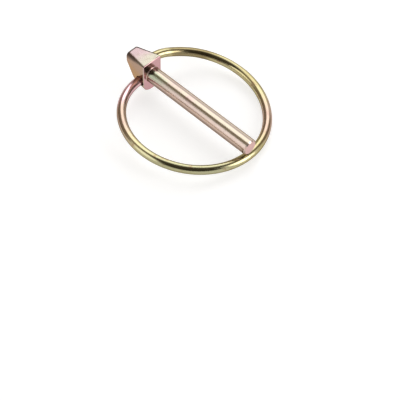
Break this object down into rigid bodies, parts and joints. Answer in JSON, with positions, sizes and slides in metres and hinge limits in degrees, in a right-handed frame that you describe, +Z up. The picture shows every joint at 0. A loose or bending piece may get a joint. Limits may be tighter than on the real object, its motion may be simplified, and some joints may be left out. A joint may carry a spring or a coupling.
{
  "type": "lynch pin",
  "caption": "Quick-release locking pin: a round shank with a tapered forged head and a sprung wire ring that swings over and snaps closed against the shank near its tip.",
  "frame": {"origin": "centre of the shank where it leaves the flat shoulder of the head", "axes": "+X along the shank towards its tip, +Y across the head along the swing axis of the ring, +Z up out of the flat top of the head"},
  "size_m": [0.0583, 0.0557, 0.0147],
  "materials": {
    "plated_forging": "yellow-passivated zinc plating on a machined steel forging, satin",
    "plated_wire": "yellow-passivated zinc plating on spring wire, bright"
  },
  "bodies": {
    "pin": {"pin": "plated_forging"},
    "ring": {"ring": "plated_wire"}
  },
  "joints": [
    {"name": "ring_swing", "type": "hinge", "parent": "pin", "child": "ring", "pos_m": [-0.00305, 0, 0.00035], "axis": [0, 1, 0], "range_deg": [-0.9, 348], "deforming": ["ring"]}
  ]
}
